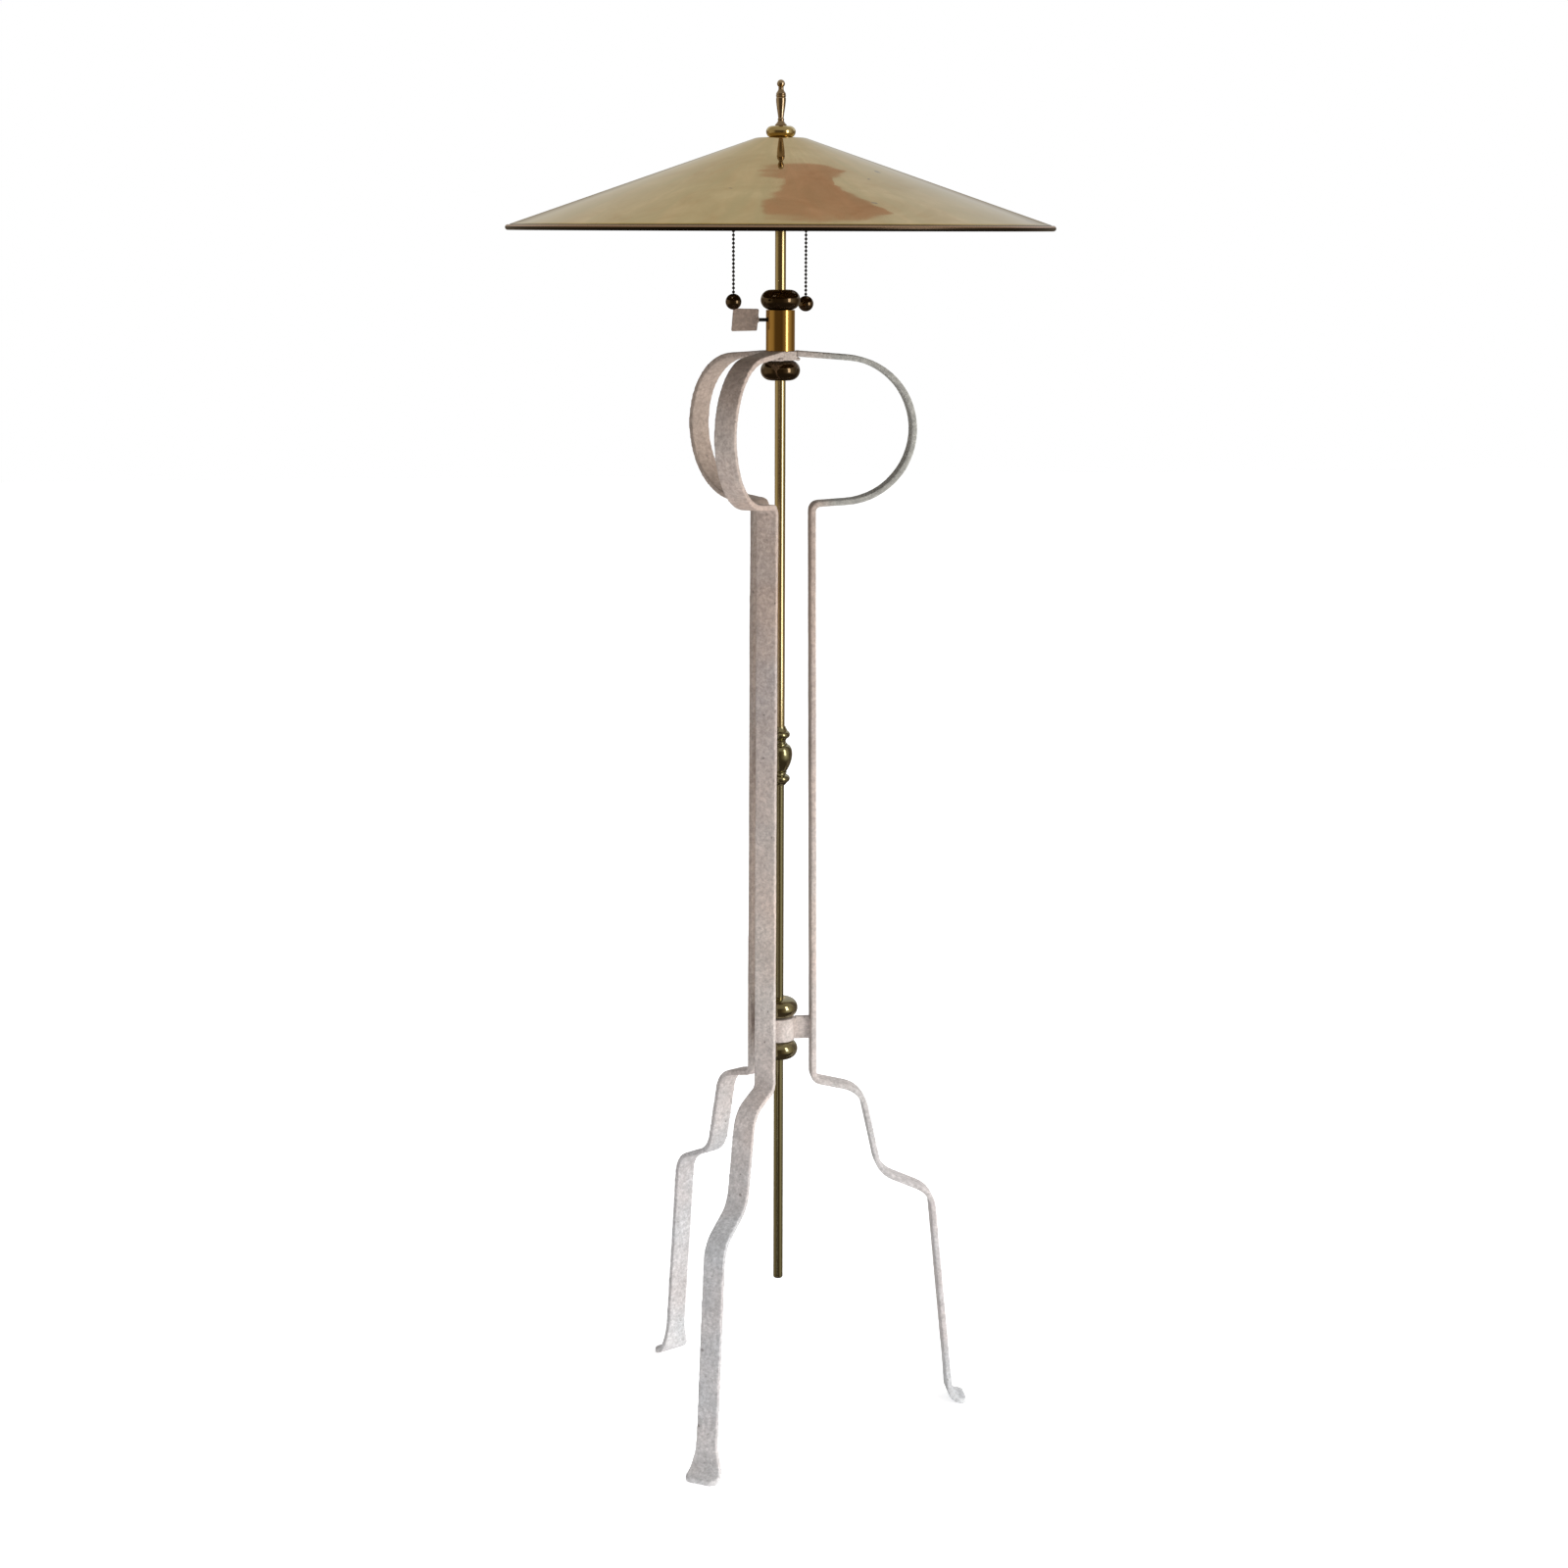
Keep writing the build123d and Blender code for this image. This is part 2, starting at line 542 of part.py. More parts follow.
def make_finial():
    """The domed base that presses on the shade, and the turned finial above it."""
    base_bottom = SHADE_TOP + FACE_GAP
    base_top = base_bottom + BASE_HEIGHT
    bore = STUD_RADIUS + SLIDE_GAP
    shoulder_point = (BASE_SHOULDER[0], base_bottom + BASE_SHOULDER[1])
    base = turned(
        Line((bore, base_bottom), (BASE_FOOT_RADIUS, base_bottom)),
        ThreePointArc(
            (BASE_FOOT_RADIUS, base_bottom), (BASE_RADIUS, base_bottom + BASE_WIDEST), shoulder_point
        ),
        Line(shoulder_point, (BASE_TOP_RADIUS, base_top)),
        Line((BASE_TOP_RADIUS, base_top), (bore, base_top)),
        Line((bore, base_top), (bore, base_bottom)),
    )
    body = turned(
        Line((0, 0), (FINIAL_FOOT[0], 0)),
        Line((FINIAL_FOOT[0], 0), FINIAL_FOOT),
        ThreePointArc(FINIAL_FOOT, (4.6, 2.6), FINIAL_ANKLE),
        ThreePointArc(FINIAL_ANKLE, (4.0, 7.4), FINIAL_STEM),
        ThreePointArc(FINIAL_STEM, (3.0, 10.2), FINIAL_WAIST),
        Line(FINIAL_WAIST, FINIAL_CHEST),
        Line(FINIAL_CHEST, FINIAL_GROOVE),
        ThreePointArc(FINIAL_GROOVE, FINIAL_SHOULDER, FINIAL_COLLAR),
        ThreePointArc(FINIAL_COLLAR, (2.9, 37.6), FINIAL_NECK),
        Line(FINIAL_NECK, (0, FINIAL_NECK[1])),
        Line((0, FINIAL_NECK[1]), (0, 0)),
    )
    body += Pos(0, 0, FINIAL_HEIGHT - FINIAL_BALL_RADIUS) * Sphere(FINIAL_BALL_RADIUS)
    body = Pos(0, 0, base_top) * body
    body -= rod(bore, base_top - 1, STUD_TOP - base_top + 1 + FACE_GAP)
    return {"finial_base": base, "finial": body}


def build():
    """Every sub-part of the lamp, by node name."""
    leg = make_leg()
    brace = make_brace(leg)
    nodes = {f"leg_{name}": Rot(0, 0, angle) * leg for name, angle in LEG_ANGLES.items()}
    nodes |= {f"brace_{name}": Rot(0, 0, angle) * brace for name, angle in LEG_ANGLES.items()}
    nodes |= make_upper_hub()
    nodes |= make_lower_hub()
    nodes |= make_clamp()
    nodes |= make_mast()
    nodes |= make_cluster()
    nodes |= make_riser()
    for side in SOCKET_ANGLES:
        nodes |= make_socket(side)
        nodes |= make_pull_chain(side)
    nodes["shade"] = make_shade()
    nodes |= make_finial()
    return nodes


os.makedirs("parts", exist_ok=True)
for name, solid in build().items():
    export_step(solid, f"parts/{name}.step")
    print(name, round(solid.volume))
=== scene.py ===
import json
import math

import bmesh
import bpy
from mathutils import Matrix, Vector, noise


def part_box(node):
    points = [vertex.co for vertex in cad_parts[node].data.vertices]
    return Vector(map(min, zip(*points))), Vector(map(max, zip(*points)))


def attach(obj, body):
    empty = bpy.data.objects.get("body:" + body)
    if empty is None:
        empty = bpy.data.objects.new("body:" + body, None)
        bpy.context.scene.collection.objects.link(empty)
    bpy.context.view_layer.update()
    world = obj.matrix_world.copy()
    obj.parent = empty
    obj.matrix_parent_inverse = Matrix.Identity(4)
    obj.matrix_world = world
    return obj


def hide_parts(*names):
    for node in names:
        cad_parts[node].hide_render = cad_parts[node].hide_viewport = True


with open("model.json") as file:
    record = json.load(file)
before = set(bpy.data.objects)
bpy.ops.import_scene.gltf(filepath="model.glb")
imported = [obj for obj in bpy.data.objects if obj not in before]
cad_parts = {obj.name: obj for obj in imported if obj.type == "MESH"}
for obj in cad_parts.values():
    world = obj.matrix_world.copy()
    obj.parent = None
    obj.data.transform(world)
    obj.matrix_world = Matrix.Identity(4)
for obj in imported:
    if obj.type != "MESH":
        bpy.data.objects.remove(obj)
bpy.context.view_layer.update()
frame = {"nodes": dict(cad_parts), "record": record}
NODES = frame["nodes"]
MM = 0.001

# ---------------------------------------------------------------- camera

CAMERA_AZIMUTH = math.radians(-7.3)
CAMERA_DISTANCE = 2.984
CAMERA_HEIGHT = 1.340
CAMERA_PITCH = math.radians(11.449)
CAMERA_ROLL = math.radians(0.17)
CAMERA_SIDESTEP = 0.0053
CAMERA_LENS = 63.27


def add_object(name, data):
    """Makes an object and puts it in the scene."""
    made = bpy.data.objects.new(name, data)
    bpy.context.scene.collection.objects.link(made)
    return made


def make_camera():
    """Camera standing in front of the lamp at shade height, looking a little down."""
    data = bpy.data.cameras.new("camera")
    data.sensor_width = 36.0
    data.lens = CAMERA_LENS
    data.clip_start = 0.05
    data.clip_end = 60.0
    camera = add_object("camera", data)
    sine, cosine = math.sin(CAMERA_AZIMUTH), math.cos(CAMERA_AZIMUTH)
    back = Vector((sine, -cosine, 0))
    right = Vector((cosine, sine, 0))
    camera.location = back * CAMERA_DISTANCE + right * CAMERA_SIDESTEP + Vector((0, 0, CAMERA_HEIGHT))
    level = Matrix.Rotation(CAMERA_AZIMUTH, 4, "Z") @ Matrix.Rotation(math.pi / 2 - CAMERA_PITCH, 4, "X")
    camera.rotation_euler = (level @ Matrix.Rotation(CAMERA_ROLL, 4, "Z")).to_euler()
    bpy.context.scene.camera = camera


make_camera()

# ---------------------------------------------------------------- node helpers

# The Mix node's colour sockets go by number, because its other kinds have the same names.
MIX_FACTOR, MIX_FIRST, MIX_SECOND, MIX_RESULT = 0, 6, 7, 2


class Nodes:
    """A small wrapper that adds and links nodes in one tree."""

    def __init__(self, tree):
        self.tree = tree

    def node(self, kind, inputs=None, **settings):
        made = self.tree.nodes.new(kind)
        for key, value in settings.items():
            setattr(made, key, value)
        for key, value in (inputs or {}).items():
            if isinstance(value, bpy.types.NodeSocket):
                self.tree.links.new(value, made.inputs[key])
            else:
                made.inputs[key].default_value = value
        return made

    def remap(self, value, low, high, to_low=0.0, to_high=1.0):
        inputs = {"Value": value, "From Min": low, "From Max": high, "To Min": to_low, "To Max": to_high}
        return self.node("ShaderNodeMapRange", inputs).outputs["Result"]

    def mix(self, factor, first, second, blend="MIX"):
        made = self.node("ShaderNodeMix", data_type="RGBA", blend_type=blend)
        for place, value in ((MIX_FACTOR, factor), (MIX_FIRST, first), (MIX_SECOND, second)):
            if isinstance(value, bpy.types.NodeSocket):
                self.tree.links.new(value, made.inputs[place])
            elif isinstance(value, tuple):
                made.inputs[place].default_value = (*value, 1)
            else:
                made.inputs[place].default_value = value
        return made.outputs[MIX_RESULT]

    def maths(self, operation, first, second):
        return self.node("ShaderNodeMath", {0: first, 1: second}, operation=operation).outputs[0]

    def along(self, direction, axis):
        """How far a vector points along an axis."""
        dot = self.node("ShaderNodeVectorMath", {0: direction, 1: axis}, operation="DOT_PRODUCT")
        return dot.outputs["Value"]

    def parts(self, vector):
        return self.node("ShaderNodeSeparateXYZ", {"Vector": vector}).outputs

    def grey(self, value):
        """The grey of a brightness."""
        channels = {"Red": value, "Green": value, "Blue": value}
        return self.node("ShaderNodeCombineColor", channels).outputs["Color"]

    def ramp(self, factor, stops):
        """Colour ramp from (place, colour) pairs, in order."""
        made = self.node("ShaderNodeValToRGB", {"Fac": factor})
        elements = made.color_ramp.elements
        while len(elements) < len(stops):
            elements.new(1.0)
        for element, (place, colour) in zip(elements, stops):
            element.position = place
            element.color = (*colour, 1)
        return made.outputs["Color"]


class Shader(Nodes):
    """The nodes of one Principled material."""

    def __init__(self, name, colour, metallic=0.0, roughness=0.5, **sockets):
        self.material = bpy.data.materials.new(name)
        self.material.use_nodes = True
        super().__init__(self.material.node_tree)
        self.bsdf = self.tree.nodes["Principled BSDF"]
        self.bsdf.inputs["Base Color"].default_value = (*colour, 1)
        self.bsdf.inputs["Metallic"].default_value = metallic
        self.bsdf.inputs["Roughness"].default_value = roughness
        for socket, value in sockets.items():
            self.bsdf.inputs[socket.replace("_", " ")].default_value = value
        self.coordinates = self.tree.nodes.new("ShaderNodeTexCoord").outputs["Object"]

    def noise(self, scale, detail=3.0, stretch=(1, 1, 1), rough=0.5, distortion=0.0):
        """Noise value in object space. stretch above 1 squeezes the pattern along that axis."""
        mapped = self.node("ShaderNodeMapping", {"Vector": self.coordinates, "Scale": stretch})
        inputs = {
            "Vector": mapped.outputs["Vector"], "Scale": scale, "Detail": detail,
            "Roughness": rough, "Distortion": distortion,
        }
        return self.node("ShaderNodeTexNoise", inputs).outputs["Fac"]

    def use(self, socket, value):
        self.tree.links.new(value, self.bsdf.inputs[socket])

    def bump(self, value, depth, strength=1.0):
        made = self.node("ShaderNodeBump", {"Height": value, "Distance": depth, "Strength": strength})
        self.use("Normal", made.outputs["Normal"])


# ---------------------------------------------------------------- materials


# The paint's warmer and cooler colour by height above the floor, in metres.
# This is partly painted shade: darker and browner up in the loops, the hub and the paddle, under the lamp
# shade.
PAINT_WITH_PAINTED_SHADE = [
    (0.00, (0.58, 0.555, 0.555), (0.555, 0.565, 0.585)),
    (0.07, (0.52, 0.485, 0.485), (0.495, 0.50, 0.52)),
    (0.24, (0.50, 0.465, 0.465), (0.475, 0.48, 0.50)),
    (0.55, (0.53, 0.435, 0.39), (0.49, 0.437, 0.405)),
    (0.85, (0.42, 0.34, 0.30), (0.385, 0.34, 0.33)),
    (1.00, (0.395, 0.305, 0.26), (0.365, 0.32, 0.295)),
    (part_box("hub_plate")[1].z + 4 * MM, (0.40, 0.32, 0.28), (0.38, 0.33, 0.30)),
    (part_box("clamp_paddle")[0].z, (0.275, 0.20, 0.16), (0.26, 0.20, 0.165)),
]
PAINT_TOP = 1.25
# Painted shade: the leg behind the mast is browner from its brace up, and the loop on the right is
# greyer, where both stand in the room's shadow. Each comes in over a span of places, in metres.
PAINTED_SHADE_BEHIND = (0.36, 0.285, 0.24)
BEHIND_Y, BEHIND_Z = (0.015, 0.03), (0.40, 0.46)
PAINTED_SHADE_RIGHT = (0.30, 0.295, 0.275)
RIGHT_X, RIGHT_Z = (0.03, 0.06), (0.90, 1.02)
PIT_COLOUR = (0.13, 0.11, 0.10)


def paint_material():
    """Thick pebbled paint: pale and cool by the feet, darker and browner in the loops, partly painted
    shade.
    """
    s = Shader("textured_paint", (0.45, 0.42, 0.40), roughness=0.55, Specular_IOR_Level=0.35)
    place = s.parts(s.coordinates)
    clouds = s.remap(s.noise(7.0, 3.0, rough=0.6), 0.40, 0.62)
    blotches = s.remap(s.noise(38.0, 3.0, rough=0.6), 0.35, 0.68)
    grain = s.noise(420.0, 2.0, rough=0.65)
    speckle = s.noise(230.0, 2.0, rough=0.6)
    pits = s.remap(s.noise(170.0, 1.0), 0.735, 0.765, 0.0, 0.6)

    # The colour by height carries painted shade under the lamp shade, as well as the paint's own colour.
    height = s.remap(place["Z"], 0.0, PAINT_TOP)
    warm = s.ramp(height, [(level / PAINT_TOP, shade) for level, shade, other in PAINT_WITH_PAINTED_SHADE])
    cool = s.ramp(height, [(level / PAINT_TOP, shade) for level, other, shade in PAINT_WITH_PAINTED_SHADE])
    # Painted shade on the leg behind the mast and on the loop at the right.
    behind = s.maths("MULTIPLY", s.remap(place["Y"], *BEHIND_Y), s.remap(place["Z"], *BEHIND_Z))
    right = s.maths("MULTIPLY", s.remap(place["X"], *RIGHT_X), s.remap(place["Z"], *RIGHT_Z))
    colour = s.mix(behind, s.mix(clouds, warm, cool), PAINTED_SHADE_BEHIND)
    colour = s.mix(right, colour, PAINTED_SHADE_RIGHT)

    lift = s.remap(blotches, 0.0, 1.0, 0.94, 1.08)
    tone = s.maths("MULTIPLY", lift, s.remap(grain, 0.34, 0.66, 0.86, 1.10))
    tone = s.maths("MULTIPLY", tone, s.remap(speckle, 0.34, 0.66, 0.84, 1.14))
    colour = s.mix(1.0, colour, s.grey(tone), "MULTIPLY")
    s.use("Base Color", s.mix(pits, colour, PIT_COLOUR))
    s.use("Roughness", s.remap(grain, 0.3, 0.7, 0.45, 0.70))
    s.bump(s.maths("ADD", grain, speckle), 0.6 * MM, 0.6)
    return s.material


SHOULDER_RADIUS = 25.8 * MM
RIM_REACH, RIM_DEPTH = 5.1 * MM, 6.4 * MM
RIM_LOW, RIM_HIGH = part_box("shade")[0].z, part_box("shade")[0].z + RIM_DEPTH
SHADE_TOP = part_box("shade")[1].z
STEEPNESS = (SHADE_TOP - RIM_HIGH) / (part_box("shade")[1].x - RIM_REACH - SHOULDER_RADIUS)
# The height where the straight side, drawn further up, would meet the axis.
CONE_TIP = SHADE_TOP + SHOULDER_RADIUS * STEEPNESS
# The rim from its foot up: tarnish and painted shade, with one painted reflection line above the roll's
# middle.
RIM_TARNISH_AND_PAINTED_LIGHT = [
    (0.0, (0.05, 0.035, 0.025)), (0.56, (0.07, 0.05, 0.035)), (0.64, (0.62, 0.42, 0.30)),
    (0.80, (0.60, 0.41, 0.29)), (0.86, (0.07, 0.045, 0.03)), (1.0, (0.10, 0.07, 0.04)),
]
LACQUER_DEEP, LACQUER_PALE = (0.50, 0.32, 0.09), (0.69, 0.50, 0.225)
STREAK_COLOUR, SPECK_COLOUR = (0.50, 0.38, 0.14), (0.16, 0.11, 0.06)
POLISHED_ROUGHNESS = (0.02, 0.035)
DULL_ROUGHNESS = (0.34, 0.34, 0.34)
# How deep in the sheet the polished outside turns into the dull inside.
INSIDE_FROM = (0.35 * MM, 0.60 * MM)


def shade_material():
    """Lacquered brass sheet, polished outside, and dull inside and on the rim.

    Soft polishing streaks run down the cone, over clouds and a few dark specks.
    """
    s = Shader("shade_brass", (0.62, 0.48, 0.27), metallic=1.0, roughness=0.09)
    place = s.parts(s.coordinates)
    squares = [s.maths("POWER", place[axis], 2.0) for axis in "XY"]
    reach = s.maths("POWER", s.maths("ADD", *squares), 0.5)
    reach = s.maths("MAXIMUM", reach, 4 * MM)
    spoke = {
        "X": s.maths("DIVIDE", place["X"], reach), "Y": s.maths("DIVIDE", place["Y"], reach),
        "Z": s.maths("MULTIPLY", reach, 1.3),
    }
    spoke = s.node("ShaderNodeCombineXYZ", spoke).outputs["Vector"]
    inputs = {"Vector": spoke, "Scale": 9.0, "Detail": 5.0, "Roughness": 0.62, "Distortion": 0.5}
    streaks = s.remap(s.node("ShaderNodeTexNoise", inputs).outputs["Fac"], 0.34, 0.66)
    clouds = s.remap(s.noise(13.0, 4.0, rough=0.65, distortion=0.8), 0.34, 0.66)
    specks = s.remap(s.noise(62.0, 0.0), 0.845, 0.86, 0.0, 0.8)
    colour = s.mix(clouds, LACQUER_DEEP, LACQUER_PALE)
    colour = s.mix(s.remap(streaks, 0.0, 1.0, 0.0, 0.85), colour, STREAK_COLOUR)
    colour = s.mix(specks, colour, SPECK_COLOUR)

    # Tarnish, painted shade and a painted reflection line on the rim.
    rim = s.ramp(s.remap(place["Z"], RIM_LOW, RIM_HIGH), RIM_TARNISH_AND_PAINTED_LIGHT)
    on_rim = s.remap(place["Z"], RIM_HIGH - 0.2 * MM, RIM_HIGH, 1.0, 0.0)
    cone = s.maths("SUBTRACT", CONE_TIP, s.maths("MULTIPLY", reach, STEEPNESS))
    depth = s.maths("SUBTRACT", s.maths("MINIMUM", cone, SHADE_TOP), place["Z"])
    dull = s.maths("MAXIMUM", on_rim, s.remap(depth, *INSIDE_FROM))
    s.use("Base Color", s.mix(on_rim, colour, rim))
    s.use("Roughness", s.mix(dull, s.remap(streaks, 0.0, 1.0, *POLISHED_ROUGHNESS), DULL_ROUGHNESS))
    s.bump(s.noise(16.0, 2.0), 0.5 * MM, 0.06)
    return s.material


def brass_material(name, light, dark, rough, wear, stretch=(1, 1, 1), low=None, low_band=(0.55, 0.95)):
    """Turned or drawn brass whose tarnish varies from place to place.

    low is the pair of colours below low_band, which is the span of heights, in metres, where they end.
    """
    s = Shader(name, light, metallic=1.0, roughness=sum(rough) / 2)
    tarnish = s.remap(s.noise(wear, 4.0, stretch, 0.6), 0.36, 0.66)
    colour = s.mix(tarnish, light, dark)
    if low:
        height = s.parts(s.coordinates)["Z"]
        colour = s.mix(s.remap(height, *low_band), s.mix(tarnish, *low), colour)
    s.use("Base Color", colour)
    s.use("Roughness", s.remap(tarnish, 0.0, 1.0, *rough))
    return s.material


def plain_material(name, first, second, rough, metallic=0.0, scale=80.0, **sockets):
    """A moulded, cast or coated surface with faint mottling."""
    s = Shader(name, first, metallic=metallic, roughness=sum(rough) / 2, **sockets)
    mottle = s.noise(scale, 3.0)
    s.use("Base Color", s.mix(s.remap(mottle, 0.35, 0.65), first, second))
    s.use("Roughness", s.remap(mottle, 0.3, 0.7, *rough))
    s.bump(s.noise(scale * 8, 2.0), 0.1 * MM, 0.15)
    return s.material


# Drawn tube has its tarnish in long streaks.
DRAWN = (1, 1, 0.04)
FINIAL_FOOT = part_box("finial")[0].z
MATERIALS = {
    "textured_paint": paint_material(),
    "shade_brass": shade_material(),
    "bright_brass": brass_material(
        "bright_brass", (0.77, 0.65, 0.39), (0.66, 0.53, 0.28), (0.11, 0.14), 45, DRAWN
    ),
    "amber_brass": brass_material(
        "amber_brass", (0.72, 0.45, 0.14), (0.60, 0.34, 0.085), (0.07, 0.10), 45, DRAWN
    ),
    # The lower buns are paler than the upper ones under the lamp shade: partly painted light and shade.
    "dark_brass": brass_material(
        "dark_brass", (0.165, 0.115, 0.07), (0.115, 0.08, 0.047), (0.07, 0.10), 50,
        low=((0.44, 0.40, 0.25), (0.30, 0.26, 0.15))
    ),
    "aged_brass": brass_material(
        "aged_brass", (0.40, 0.37, 0.22), (0.27, 0.25, 0.15), (0.13, 0.26), 45, DRAWN
    ),
    "finial_brass": brass_material(
        "finial_brass", (0.64, 0.51, 0.37), (0.38, 0.28, 0.18), (0.08, 0.12), 60,
        low=((0.76, 0.62, 0.34), (0.60, 0.46, 0.22)),
        low_band=(FINIAL_FOOT - 0.5 * MM, FINIAL_FOOT + 0.5 * MM)
    ),
    "plain_brass": brass_material(
        "plain_brass", (0.70, 0.52, 0.24), (0.50, 0.36, 0.16), (0.18, 0.34), 70
    ),
    "black_steel": plain_material(
        "black_steel", (0.018, 0.016, 0.014), (0.009, 0.008, 0.007), (0.35, 0.5)
    ),
    "phenolic": plain_material(
        "phenolic", (0.022, 0.020, 0.019), (0.035, 0.03, 0.028), (0.25, 0.4)
    ),
    "aluminium": plain_material(
        "aluminium", (0.80, 0.80, 0.80), (0.70, 0.70, 0.71), (0.2, 0.35), metallic=1.0
    ),
    "frosted_glass": plain_material(
        "frosted_glass", (0.93, 0.93, 0.90), (0.89, 0.89, 0.86), (0.42, 0.55), scale=60.0,
        Transmission_Weight=0.35
    ),
}
SLOT_OF = {entry["node"]: entry["material_slot"] for entry in frame["record"]["subparts"]}
BODY_OF = {node: body for body, nodes in frame["record"]["behaviour"]["bodies"].items() for node in nodes}


def dress_cad_nodes():
    """Every carried-over CAD node gets its slot's material."""
    for name, obj in NODES.items():
        obj.data.materials.clear()
        obj.data.materials.append(MATERIALS[SLOT_OF[name]])


# ---------------------------------------------------------------- mesh helpers


def add_piece(name, mesh, node, stands_for=True):
    """Makes a piece that rides with a CAD node's body and takes that node's slot."""
    piece = add_object(name, mesh)
    mesh.materials.clear()
    mesh.materials.append(MATERIALS[SLOT_OF[node]])
    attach(piece, BODY_OF[node])
    if stands_for:
        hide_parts(node)


def finish_mesh(bm, name, sharp_angle=40.0):
    """Turns a bmesh into a smooth mesh whose edges above sharp_angle, in degrees, stay sharp."""
    bmesh.ops.recalc_face_normals(bm, faces=bm.faces)
    mesh = bpy.data.meshes.new(name)
    bm.to_mesh(mesh)
    bm.free()
    mesh.shade_smooth()
    mesh.set_sharp_from_angle(angle=math.radians(sharp_angle))
    return mesh


def add_lathe(bm, profile, centre, segments):
    """Turns a (radius, height) profile about the vertical through centre.

    A profile that starts on the axis ends there too, and any other one closes on itself.
    """
    rings = []
    turns = [2 * math.pi * i / segments for i in range(segments)]
    for radius, height in profile:
        if radius < 1e-7:
            rings.append([bm.verts.new((centre[0], centre[1], height))])
            continue
        ring = []
        for turn in turns:
            x, y = centre[0] + radius * math.cos(turn), centre[1] + radius * math.sin(turn)
            ring.append(bm.verts.new((x, y, height)))
        rings.append(ring)
    closed = rings[0] is not rings[-1] and len(rings[0]) > 1
    pairs = list(zip(rings, rings[1:])) + ([(rings[-1], rings[0])] if closed else [])
    for low, high in pairs:
        for i in range(segments):
            j = (i + 1) % segments
            corners = [low[i % len(low)], low[j % len(low)], high[j % len(high)], high[i % len(high)]]
            unique = list(dict.fromkeys(corners))
            if len(unique) >= 3:
                bm.faces.new(unique)


def lathe_piece(node, profile, centre=(0, 0), segments=128, sharp_angle=40.0):
    """The turned piece that stands for a node."""
    bm = bmesh.new()
    add_lathe(bm, profile, centre, segments)
    add_piece(f"{node}_turned", finish_mesh(bm, f"{node}_turned", sharp_angle), node)


def skin_rings(bm, rings):
    """Joins rings of vertices, in order, into a tube with closed ends."""
    sides = len(rings[0])
    for first, second in zip(rings, rings[1:]):
        for i in range(sides):
            j = (i + 1) % sides
            bm.faces.new((first[i], first[j], second[j], second[i]))
    bm.faces.new(rings[0][::-1])
    bm.faces.new(rings[-1])


def arc(centre, radius, start, end, steps):
    """Points of an arc in (radius, height), by angles in degrees."""
    angles = [math.radians(start + (end - start) * i / steps) for i in range(steps + 1)]
    return [(centre[0] + radius * math.cos(a), centre[1] + radius * math.sin(a)) for a in angles]


def stepped(places, base=0.0):
    """Profile points from (radius, height above base) pairs in millimetres."""
    return [(radius * MM, base + height * MM) for radius, height in places]


def centre_of(node):
    low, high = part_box(node)
    return ((low.x + high.x) / 2, (low.y + high.y) / 2)


# ---------------------------------------------------------------- painted bar work

# The voxel that rounds the edges of each kind of bar, plate or paddle.
BAR_VOXEL, PLATE_VOXEL, PADDLE_VOXEL = 1.12 * MM, 0.8 * MM, 0.45 * MM
PAINT_SOFTENING = 4
PEBBLE_SIZE, PEBBLE_DEPTH = 2.4 * MM, 0.17 * MM
DENT_SIZE, DENT_DEPTH = 26 * MM, 0.30 * MM


def pebble(point):
    """How far the painted skin lies below the steel's outline at a point. Always inwards."""
    fine = noise.noise(point / PEBBLE_SIZE)
    coarse = noise.noise(point / DENT_SIZE)
    return PEBBLE_DEPTH * (0.5 - 0.5 * fine) + DENT_DEPTH * (0.5 - 0.5 * coarse)


def paint_node(node, voxel):
    """Rounds a CAD node's edges and gives it the paint's pebbled skin."""
    bm = bmesh.new()
    bm.from_mesh(NODES[node].data)
    bmesh.ops.remove_doubles(bm, verts=bm.verts, dist=1e-6)
    mesh = bpy.data.meshes.new(f"{node}_rough")
    bm.to_mesh(mesh)
    bm.free()
    rough = add_object(f"{node}_rough", mesh)
    remesh = rough.modifiers.new("remesh", "REMESH")
    remesh.mode = "VOXEL"
    remesh.voxel_size = voxel
    soften = rough.modifiers.new("soften", "SMOOTH")
    soften.factor = 0.5
    soften.iterations = PAINT_SOFTENING
    graph = bpy.context.evaluated_depsgraph_get()
    skin = bpy.data.meshes.new_from_object(rough.evaluated_get(graph))
    bpy.data.objects.remove(rough)
    normals = [vertex.normal.copy() for vertex in skin.vertices]
    for vertex, normal in zip(skin.vertices, normals):
        vertex.co -= normal * pebble(vertex.co)
    skin.name = f"{node}_painted"
    skin.shade_smooth()
    add_piece(f"{node}_painted", skin, node)


def paint_bar_work():
    for letter in "abc":
        paint_node(f"leg_{letter}", BAR_VOXEL)
        paint_node(f"brace_{letter}", BAR_VOXEL)
    for node in ("hub_plate", "brace_collar"):
        paint_node(node, PLATE_VOXEL)
    paint_node("clamp_paddle", PADDLE_VOXEL)


# ---------------------------------------------------------------- turned brass


def turn_bead(node):
    """A bun with fully rounded sides, bored through."""
    low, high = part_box(node)
    radius = (high.x - low.x) / 2
    half = (high.z - low.z) / 2
    guide = "upper_guide_tube" if low.z > 1.0 else "lower_guide_tube"
    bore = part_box(guide)[1].x + 0.02 * MM
    side = arc((radius - half, low.z + half), half, -90, 90, 28)
    lathe_piece(node, [(bore, low.z)] + side + [(bore, high.z)])


def turn_tube(node, bore, segments=96):
    """A drawn tube with lightly broken ends."""
    low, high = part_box(node)
    radius = high.x
    ease = 0.3 * MM
    lathe_piece(node, [
        (bore, low.z), (radius - ease, low.z), (radius, low.z + ease),
        (radius, high.z - ease), (radius - ease, high.z), (bore, high.z),
    ], segments=segments)


